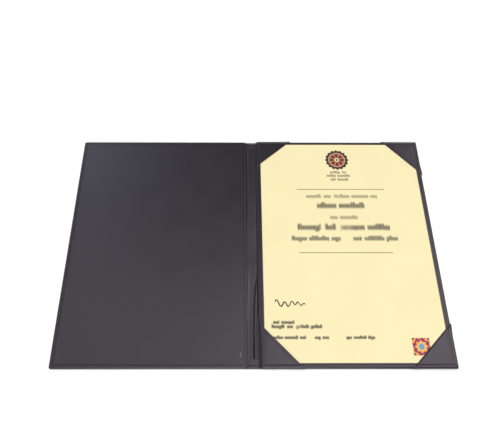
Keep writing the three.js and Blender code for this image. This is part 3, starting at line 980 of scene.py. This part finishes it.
def pocket_place(name):
    """The corner's place, the directions into the cover along x and y, and the pocket's own measures."""
    low, high = node_box("pocket_" + name)
    leg = (high - low)[0] + 2 * (COVER_Y - max(abs(low[1]), abs(high[1])))
    left, top = "left" in name, "top" in name
    corner = (PANEL_X if left else COVER_X, COVER_Y if top else -COVER_Y)
    rise, reach = FLAP_RISE["top" if top else "bottom"]
    seam, pull = (SPINE_SEAM, 1.0) if left else (SEAM, SIDE_PULL)
    measures = {"leg": leg, "seam": seam, "pull": pull}
    measures.update({"fall": HEM_FALL[name], "rise": rise, "reach": reach})
    return corner, (1 if left else -1, -1 if top else 1), measures


for name, more in LEG_EXTRA.items():
    (corner_x, corner_y), (into_x, into_y), measures = pocket_place(name)
    leg = measures["leg"]
    p, q = pocket_grid(leg)
    plan = flared(*rounded_corner(p, q), leg)
    plan_p, plan_q = (stretched(value, leg, extra) for value, extra in zip(plan, more))
    x, y = corner_x + into_x * plan_p, corner_y + into_y * plan_q
    top = np.stack([x, y, pocket_top(p, q, **measures)], axis=-1)
    under = np.stack([x, y, pocket_under(p, q, leg)], axis=-1)
    points, faces = shell(top, under, first_row=False, sides=False)
    nodes = ("pocket_" + name,)
    pocket = make_piece("pocket_leather_" + name, points, faces, LEATHER, nodes)
    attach(pocket, "back_leaf")


# %% [markdown]
# ## Thread
# The seams are sewn with dark polyester thread. Each stitch is a short spindle that rises from one
# needle hole and dives into the next. A tube along the whole seam would look like piping, so every
# stitch is its own small closed shape, placed on the surface that it is sewn into. The stitches beside
# the spine are fuller, those of one hem are paler as a painted highlight, and two pale ends have come
# loose.

# %% Thread
TWIST_RATE, TWIST_RISE, TWIST_DEPTH, FUZZ_SIZE = 12.0, 2.0, 0.08, 0.2
TWIST_SHARE, FUZZ_SHARE = 0.6, 0.4


def thread(name, dark, pale):
    """A twisted yarn: diagonal bands of two tones over a dull fibre."""
    yarn = Finish(name, Specular_IOR_Level=0.15)
    x, y, z = yarn.millimetres()
    twist = ((x + y + z * TWIST_RISE) * TWIST_RATE).math("SINE") * 0.5 + 0.5
    fuzz = yarn.noise(FUZZ_SIZE, detail=3.0)
    colour = yarn.mix(twist * TWIST_SHARE + fuzz * FUZZ_SHARE, dark, pale)
    normal = yarn.bump(twist, strength=0.5, depth=TWIST_DEPTH)
    return yarn.finish(Base_Color=colour, Roughness=0.62 + 0.2 * fuzz, Normal=normal)


THREAD = thread("thread", (0.003, 0.0027, 0.0032), (0.013, 0.0115, 0.0135))
# Paler thread for one hem: a painted highlight for light that glints on those stitches.
PAINTED_GLINT_THREAD = thread("painted_glint_thread", (0.08, 0.075, 0.08), (0.20, 0.19, 0.20))
PALE_THREAD = thread("pale_thread", (0.20, 0.185, 0.19), (0.36, 0.34, 0.345))

# %% Stitches
STITCH_LENGTH, STITCH_HALF = 0.74 * PITCH, 0.30
SPINE_STITCH_LENGTH, SPINE_STITCH_HALF = 0.90 * PITCH, 0.42
STITCH_RISE, STITCH_DIVE, STITCH_FLATNESS = 0.16, 0.24, 0.8
STITCH_LEAN = 0.07
RINGS, ROUND = 7, 6


def spindles(x, y, z, heading, up=1.0, length=STITCH_LENGTH, half=STITCH_HALF):
    """A row of stitches: a tube whose radius and height fall off towards both ends.

    The half width is half times the root of 1 - s to the fourth, and the middle line rises as
    1 - s squared, where s runs from -1 to 1 along the stitch. All stitches are made at once.
    """
    length, half = (np.broadcast_to(value, x.shape)[:, None, None] for value in (length, half))
    s = np.linspace(-1, 1, RINGS)[:, None]
    turn = 2 * np.pi * np.arange(ROUND) / ROUND
    radius = half * np.sqrt(1 - s**4)
    along = 0.5 * length * s + 0 * turn
    across = radius * np.cos(turn)
    lift = STITCH_RISE * (1 - s**2) - STITCH_DIVE * s**2 + STITCH_FLATNESS * radius * np.sin(turn)
    heading = np.broadcast_to(heading, x.shape) + STITCH_LEAN
    cosine, sine = np.cos(heading)[:, None, None], np.sin(heading)[:, None, None]
    px = x[:, None, None] + along * cosine - across * sine
    py = y[:, None, None] + along * sine + across * cosine
    pz = z[:, None, None] + up * lift
    first = np.arange(len(x))[:, None, None] * (RINGS * ROUND)
    faces = quads_between(RINGS, ROUND, closed=True) + first
    return np.stack([px, py, pz], axis=-1).reshape(-1, 3), faces.reshape(-1, 4)


def joined(parts):
    """Several sets of points and faces as one."""
    starts = np.cumsum([0] + [len(points) for points, faces in parts])
    faces = [faces + start for (points, faces), start in zip(parts, starts)]
    return np.concatenate([points for points, faces in parts]), np.concatenate(faces)


print("stitches of", round(STITCH_LENGTH, 2), "mm at", PITCH, "mm")

# %% Places along the long seams
HEM_TOUCH = 0.5


def ring_of_marks():
    """Places and headings of the stitches round one cover, at the seam's inset."""
    across, up = seam_marks(*SEAM_X), seam_marks(*SEAM_Y)
    x = np.concatenate([across, across, np.full_like(up, SEAM_X[0]), np.full_like(up, SEAM_X[1])])
    y = np.concatenate([np.full_like(across, SEAM_Y[0]), np.full_like(across, SEAM_Y[1]), up, up])
    heading = np.concatenate([0 * across, 0 * across, 0 * up + 0.5 * np.pi, 0 * up + 0.5 * np.pi])
    return x, y, heading


def sewn_height(x, y, with_pockets):
    """The height of the sewn surface: the lining's groove, or a pocket's where one covers it."""
    z = lining_high[2] - SEW_DEPTH * seam_pull(x, y)[0]
    if with_pockets:
        for name, (more_p, more_q) in LEG_EXTRA.items():
            (corner_x, corner_y), (into_x, into_y), measures = pocket_place(name)
            leg = measures["leg"]
            p = stretched(into_x * (x - corner_x), leg + more_p, -more_p)
            q = stretched(into_y * (y - corner_y), leg + more_q, -more_q)
            covered = (p > 0) & (q > 0) & (p + q < leg + HEM_TOUCH)
            z = np.where(covered, np.maximum(z, pocket_top(p, q, **measures)), z)
    return z


mark_x, mark_y, mark_heading = ring_of_marks()
print("one cover has", len(mark_x), "stitches")

# %% The long seams
NEEDLE_LIFT, GUTTER_SINK = 0.05, 0.30
BOBBIN_SINK, BOBBIN_UP = 0.02, -0.6
GUTTER_MARKS = np.array([1.7, 5.1])

by_spine = mark_x == SEAM_X[0]
mark_length = np.where(by_spine, SPINE_STITCH_LENGTH, STITCH_LENGTH)
mark_half = np.where(by_spine, SPINE_STITCH_HALF, STITCH_HALF)
end_x, end_y = (grid.ravel() for grid in np.meshgrid(GUTTER_MARKS, np.array(SEAM_Y)))
end_z = np.full_like(end_x, GUTTER_FLOOR + HEM_RISE - GUTTER_SINK)
lower_x, lower_y = np.concatenate([mark_x, end_x]), np.concatenate([mark_y, end_y])
lower_z = np.full_like(lower_x, GROOVE_DEPTH - BOBBIN_SINK)
lower_heading = np.concatenate([mark_heading, 0 * end_x])
for side, mirror in SIDES.items():
    mark_z = sewn_height(mark_x, mark_y, side == "back") + NEEDLE_LIFT
    needle = spindles(mark_x, mark_y, mark_z, mark_heading, length=mark_length, half=mark_half)
    upper = joined([needle, spindles(end_x, end_y, end_z, 0.0)])
    lower = spindles(lower_x, lower_y, lower_z, lower_heading, BOBBIN_UP)
    for face, kind, (points, faces) in (("inner", "needle", upper), ("outer", "bobbin", lower)):
        nodes = [place + "_" + kind + "_thread" for place in (side, "spine_head", "spine_tail")]
        name = side + "_" + face + "_stitches"
        row = make_piece(name, points * mirror, faces, THREAD, nodes)
        bend_at_fold(row)


# %% The hems' seams
HEM_LIFT = 0.04
# The bottom right hem gets the paler thread, a painted highlight; the other hems keep the dark one.
HEM_THREADS = {name: PAINTED_GLINT_THREAD if name == "bottom_right" else THREAD for name in LEG_EXTRA}

for name, (more_p, more_q) in LEG_EXTRA.items():
    (corner_x, corner_y), (into_x, into_y), measures = pocket_place(name)
    leg = measures["leg"]
    line = leg - HEM_SEAM * np.sqrt(2)
    run = line - 2 * HEM_SEAM_END
    count = stitch_count(run * np.sqrt(2))
    p = HEM_SEAM_END + run * (np.arange(count) + 0.5) / count
    q = line - p
    x = corner_x + into_x * stretched(p, leg, more_p)
    y = corner_y + into_y * stretched(q, leg, more_q)
    z = pocket_top(p, q, **measures) + HEM_LIFT
    heading = np.arctan2(-into_y * (leg + more_q), into_x * (leg + more_p))
    points, faces = spindles(x, y, z, heading)
    nodes = ("hem_thread_" + name,)
    row = make_piece("hem_stitches_" + name, points, faces, HEM_THREADS[name], nodes)
    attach(row, "back_leaf")


# %% Loose ends
LOOSE_LENGTH, LOOSE_PLACE = 6.0, (14.7, -138.6)
KNOT_LENGTH, KNOT_PLACE = 1.8, (1.6, 40.0)
LOOSE_LIFT = 0.1

loose_x, loose_y = (np.array([value]) for value in LOOSE_PLACE)
loose_z = lining_high[2:] + LOOSE_LIFT
points, faces = spindles(loose_x, loose_y, loose_z, 0.5 * np.pi, length=LOOSE_LENGTH)
loose = make_piece("loose_stitch", points * SIDES["front"], faces, PALE_THREAD)
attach(loose, "front_leaf")
(corner_x, corner_y), (into_x, into_y), measures = pocket_place("top_left")
knot_p, knot_q = (np.array([value]) for value in KNOT_PLACE)
knot_x, knot_y = corner_x + into_x * knot_p, corner_y + into_y * knot_q
knot_z = pocket_top(knot_p, knot_q, **measures) + LOOSE_LIFT
points, faces = spindles(knot_x, knot_y, knot_z, 0.25 * np.pi, length=KNOT_LENGTH)
knot = make_piece("hem_knot", points, faces, PALE_THREAD)
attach(knot, "back_leaf")

# %% [markdown]
# ## The sheet
# The certificate is a cream sheet of A4 card. What is printed on it is kept generic: soft marks that
# can't be read stand where words would be, with a round rosette above them, two thin rules and a wavy
# pen stroke. Print is only colour, so it belongs in the material, worked out from the sheet's own
# coordinates in millimetres.

# %% Rows of print
# Each row gives its middle, start, end and the height of its letters in millimetres, and its strength.
PRINTED_ROWS = (
    (104.0, 106.0, 128.0, 3.9, 0.66),
    (98.6, 101.0, 133.0, 4.3, 0.70),
    (92.6, 104.0, 130.0, 4.2, 0.70),
    (66.7, 71.5, 165.0, 5.6, 0.64),
    (52.6, 85.0, 150.0, 8.4, 0.92),
    (35.6, 98.0, 137.0, 5.8, 0.64),
    (21.2, 58.0, 176.0, 8.4, 0.92),
    (5.5, 50.0, 184.0, 6.4, 0.86),
    (-101.7, 21.0, 48.0, 4.3, 1.0),
    (-106.8, 21.0, 80.0, 4.3, 1.0),
    (-119.5, 22.0, 87.0, 4.0, 1.0),
    (-119.5, 105.0, 140.0, 3.8, 1.0),
)
LETTER_WIDTH, LETTER_HALF, LETTER_REACH, LETTER_SOFT = 0.66, 0.37, 0.28, 0.25
TALL_LETTERS, LOW_LETTERS = (0.70, 0.75), (0.12, 0.08)
WORD_RATE, WORD_START, WORD_SHARE = 0.17, 0.2, 0.80
WOBBLE, WOBBLE_RATE, WOBBLE_SHIFT = 0.22, 0.83, 2.1
PALEST_LETTER, SHADE_RATE = 0.65, 1.3
CHANCE_STEP, SHADE_STEP = 41.0, 17.0


def inside(value, middle, width, soft=0.12):
    """1 where a value is within half a width of the middle, with soft edges."""
    return (value - middle).math("ABSOLUTE").ramp(0.5 * width + soft, 0.5 * width - soft)


def printed_row(sheet, x, y, row, number):
    """A row of soft marks like blurred words: a wobbling count of letters sets the gaps between words.

    Each letter has its own random number, which lets some of them reach above the row or below it.
    """
    middle, start, end, tall, strength = row
    letter = (x - start) * (1 / (LETTER_WIDTH * tall))
    wobble = (letter * WOBBLE_RATE + WOBBLE_SHIFT * number).math("SINE") * WOBBLE
    word = letter * WORD_RATE + wobble + WORD_START
    words = inside(word.math("FRACT"), 0.5, WORD_SHARE, soft=0.05)
    length = inside(x, 0.5 * (start + end), end - start, soft=0.3)
    seed = {"W": letter.math("FLOOR") + CHANCE_STEP * number}
    chance = sheet.add("ShaderNodeTexWhiteNoise", {"noise_dimensions": "1D"}, seed, "Value")
    level = (y - middle) * (1 / tall)
    above = LETTER_HALF + LETTER_REACH * chance.ramp(*TALL_LETTERS) - level
    below = LETTER_HALF + LETTER_REACH * chance.ramp(*LOW_LETTERS) + level
    mark = above.ramp(-LETTER_SOFT, LETTER_SOFT) * below.ramp(-LETTER_SOFT, LETTER_SOFT)
    grain = {"W": letter * SHADE_RATE + SHADE_STEP * number, "Detail": 1.0}
    shade = sheet.add("ShaderNodeTexNoise", {"noise_dimensions": "1D"}, grain, "Fac").ramp(*CLOUD_SPAN)
    return words * length * mark * (PALEST_LETTER + (1 - PALEST_LETTER) * shade) * strength


print(len(PRINTED_ROWS), "rows of print")

# %% Pen stroke and rosette
PEN_PLACE, PEN_LENGTH, PEN_EDGE = (44.0, -79.0), 36.0, (0.62, 0.38)
PEN_RATE, PEN_QUICKENING = 0.78, 0.006
PEN_SWING, PEN_SHRINKING, PEN_STEEPNESS = 2.4, 0.075, 0.8
PEN_DRIFT, PEN_DRIFT_RATE = 0.9, 0.31
ROSETTE_PLACE = (117.0, 124.0)
SCALLOPS, SCALLOP_DEPTH, PETALS, PETAL_EDGE = 16.0, 0.8, 8.0, (-0.50, -0.25)
PETAL_RING, LINE_RING = (6.6, 5.4, 0.3), (11.0, 0.7, 0.2)
RIM_EDGE, FIELD_EDGE, EYE_EDGE, PUPIL_EDGE = (15.3, 14.9), (10.6, 10.3), (3.4, 3.1), (1.7, 1.4)
RIM_BROWN, PETAL_BROWN = (0.050, 0.032, 0.028), (0.055, 0.035, 0.030)
LINE_CREAM, EYE_CREAM, FIELD_ORANGE = (0.60, 0.50, 0.36), (0.66, 0.56, 0.40), (0.52, 0.14, 0.05)


def pen_stroke(x, y):
    """A wave whose swings grow shorter and closer along the line, drawn where y is near its height.

    The width is divided by the wave's slope, so that steep parts are no thicker than level ones.
    """
    across = x - PEN_PLACE[0]
    phase = across * PEN_RATE + across * across * PEN_QUICKENING
    swing = PEN_SWING - PEN_SHRINKING * across
    drift = (across * PEN_DRIFT_RATE).math("SINE") * PEN_DRIFT
    height = PEN_PLACE[1] + phase.math("SINE") * swing + drift
    slope = phase.math("COSINE").math("ABSOLUTE") * swing * PEN_STEEPNESS + 1.0
    line = ((y - height).math("ABSOLUTE") / slope).ramp(*PEN_EDGE)
    return line * inside(x, PEN_PLACE[0], PEN_LENGTH)


def rosette(sheet, x, y, colour):
    """A round scalloped rosette: dark rim, orange field, dark petals and a pale middle."""
    across, up = x - ROSETTE_PLACE[0], y - ROSETTE_PLACE[1]
    radius = (across * across + up * up).math("SQRT")
    angle = up.math("ARCTAN2", across)
    rim = (radius - (angle * SCALLOPS).math("COSINE") * SCALLOP_DEPTH).ramp(*RIM_EDGE)
    petals = (angle * PETALS).math("COSINE").ramp(*PETAL_EDGE) * inside(radius, *PETAL_RING)
    colour = sheet.mix(rim, colour, RIM_BROWN)
    colour = sheet.mix(inside(radius, *LINE_RING), colour, LINE_CREAM)
    colour = sheet.mix(radius.ramp(*FIELD_EDGE), colour, FIELD_ORANGE)
    colour = sheet.mix(petals, colour, PETAL_BROWN)
    colour = sheet.mix(radius.ramp(*EYE_EDGE), colour, EYE_CREAM)
    return sheet.mix(radius.ramp(*PUPIL_EDGE), colour, PETAL_BROWN)


print("the rosette is", 2 * RIM_EDGE[0], "mm across and the pen stroke", PEN_LENGTH, "mm long")

# %% Printed paper
INK = (0.028, 0.024, 0.022)
CREAM, FIBRE_TONE = ((0.776, 0.692, 0.398), (0.786, 0.706, 0.415)), (0.736, 0.638, 0.356)
CREAM_CLOUD, FIBRE_SIZE, FIBRE_SHARE, FIBRE_DEPTH = 60.0, 1.6, 0.12, 0.03
FIBRE_SPAN = (0.35, 0.8)
RULES, RULE_WIDTH, RULE_STRENGTH = ((77.5, 60.0, 176.0), (-13.5, 58.6, 175.4)), 0.9, 0.82


def printed_paper():
    """Cream card with fibres; the print is the largest of all the printed masks."""
    sheet = Finish("certificate_paper", Specular_IOR_Level=0.25)
    x, y, z = sheet.millimetres()
    fibre = sheet.noise(FIBRE_SIZE, detail=4.0, roughness=0.65)
    cream = sheet.mix(sheet.cloud(CREAM_CLOUD), *CREAM)
    cream = sheet.mix(fibre.ramp(*FIBRE_SPAN) * FIBRE_SHARE, cream, FIBRE_TONE)
    ink = pen_stroke(x, y)
    for number, row in enumerate(PRINTED_ROWS):
        ink = ink.math("MAXIMUM", printed_row(sheet, x, y, row, number))
    for level, start, end in RULES:
        rule = inside(y, level, RULE_WIDTH) * inside(x, 0.5 * (start + end), end - start)
        ink = ink.math("MAXIMUM", rule * RULE_STRENGTH)
    colour = rosette(sheet, x, y, sheet.mix(ink, cream, INK))
    normal = sheet.bump(fibre, strength=0.15, depth=FIBRE_DEPTH)
    return sheet.finish(Base_Color=colour, Roughness=0.55 + 0.2 * fibre, Normal=normal)


PAPER = printed_paper()

# %% The sheet of paper
sheet_low, sheet_high = node_box("certificate_sheet")
SHEET_BOW, BOW_ALONG_Y, SHEET_LIFT = 0.40, 0.65, 0.02
SHEET_LINES = np.array([105, 90, 75, 60, 45, 32, 22, 14, 8, 4, 1.5, 0.4, 0.05, 0.0])
SHEET_COUNTS = (60, 84)


def bow(x, y):
    """Paper bows up a little between the pockets: sine squared along each side, nothing at the corners."""
    u = np.clip((x - sheet_low[0]) / (sheet_high - sheet_low)[0], 0, 1)
    v = np.clip((y - sheet_low[1]) / (sheet_high - sheet_low)[1], 0, 1)
    along_y, along_x = np.sin(np.pi * v) ** 2, np.sin(np.pi * u) ** 2 * np.cos(2 * np.pi * v) ** 2
    return SHEET_BOW * (BOW_ALONG_Y * along_y + (1 - BOW_ALONG_Y) * along_x)


def flat_sheet(low, high, bottom, lines, counts):
    """Rings over the top of a thin sheet and back under it, bowed as the paper is."""
    half, middle = 0.5 * (high - low)[:2], 0.5 * (high + low)[:2]
    inset = np.concatenate([lines, lines[::-1]])
    x, y = rounded_rings(inset, half, 0.0, counts)
    x, y = x + middle[0], y + middle[1]
    upper = np.arange(len(inset))[:, None] < len(lines)
    z = np.where(upper, high[2], bottom) + bow(x, y)
    return ring_body(np.stack([x, y, z], axis=-1))


points, faces = flat_sheet(sheet_low, sheet_high, sheet_low[2] + SHEET_LIFT, SHEET_LINES, SHEET_COUNTS)
sheet = make_piece("printed_certificate", points, faces, PAPER, ("certificate_sheet",))
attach(sheet, "certificate")

# %% [markdown]
# ## Foil seal
# A square of embossed foil is stuck near the sheet's corner. Foil of this kind splits light into
# bands of colour. Colour that depends on the eye's place would be lost in the export, so the bands are
# painted: rings with a wavy edge run from a blue middle through yellow, orange and dark purple to red,
# and end in dark corners.

# %% Foil
FOIL_BANDS = (
    (0.00, (0.55, 0.22, 0.05)),
    (0.10, (0.02, 0.10, 0.26)),
    (0.22, (0.05, 0.20, 0.22)),
    (0.34, (0.48, 0.34, 0.05)),
    (0.46, (0.62, 0.13, 0.02)),
    (0.57, (0.10, 0.01, 0.04)),
    (0.66, (0.02, 0.01, 0.06)),
    (0.75, (0.45, 0.06, 0.02)),
    (0.86, (0.56, 0.26, 0.03)),
    (1.00, (0.03, 0.01, 0.06)),
)
FOIL_REACH, FOIL_RAYS, FOIL_TWIST, FOIL_WAVE = 13.0, 8.0, 0.7, 0.07
EMBOSS_RATE, EMBOSS_DEPTH = 9.0, 0.04


def foil(middle_x, middle_y):
    """Bands by distance from the middle, shifted by a wave round it; fine rings are embossed."""
    film = Finish("foil", Metallic=0.5, Specular_IOR_Level=0.5)
    x, y, z = film.millimetres()
    across, up = x - middle_x, y - middle_y
    radius = (across * across + up * up).math("SQRT")
    angle = up.math("ARCTAN2", across)
    wave = (angle * FOIL_RAYS + radius * FOIL_TWIST).math("SINE") * FOIL_WAVE
    band = radius * (1 / FOIL_REACH) + wave
    colour = film.add("ShaderNodeValToRGB", {"stops": FOIL_BANDS}, {"Fac": band}, "Color")
    emboss = (radius * EMBOSS_RATE).math("SINE") * 0.5 + 0.5
    normal = film.bump(emboss, strength=0.3, depth=EMBOSS_DEPTH)
    return film.finish(Base_Color=colour, Roughness=0.25 + 0.15 * emboss, Normal=normal)


print("the foil has", len(FOIL_BANDS), "bands")

# %% The foil square
seal_low, seal_high = node_box("foil_seal")
SEAL_SINK = 0.04
SEAL_LINES = np.array([10, 8, 6, 4, 2, 0.5, 0.04, 0.0])
SEAL_COUNTS = (16, 16)

FOIL = foil(*(float(value) for value in 0.5 * (seal_high + seal_low)[:2]))
points, faces = flat_sheet(seal_low, seal_high, seal_low[2] - SEAL_SINK, SEAL_LINES, SEAL_COUNTS)
seal = make_piece("foil_square", points, faces, FOIL, ("foil_seal",))
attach(seal, "certificate")

# %% [markdown]
# ## Boards
# Inside each cover is a sheet of greyboard. It can't be seen while the leather is whole, and its CAD
# solid has the right shape, so it stays and only gets a finish.

# %% Greyboard
GREY_TONES = ((0.20, 0.185, 0.165), (0.36, 0.34, 0.31))
FLECK_SIZE, FLECK_SPAN, FLECK_DEPTH, GREY_CLOUD = 0.8, (0.3, 0.75), 0.05, 25.0


def greyboard():
    """Pressed recycled fibre: grey with darker and lighter flecks."""
    board = Finish("greyboard", Specular_IOR_Level=0.2)
    fleck = board.noise(FLECK_SIZE, detail=4.0, roughness=0.7)
    colour = board.mix(fleck.ramp(*FLECK_SPAN), *GREY_TONES)
    rough = 0.8 + 0.15 * board.noise(GREY_CLOUD)
    normal = board.bump(fleck, strength=0.3, depth=FLECK_DEPTH)
    return board.finish(Base_Color=colour, Roughness=rough, Normal=normal)


GREYBOARD = greyboard()
for side in SIDES:
    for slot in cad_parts[side + "_board"].material_slots:
        slot.material = GREYBOARD
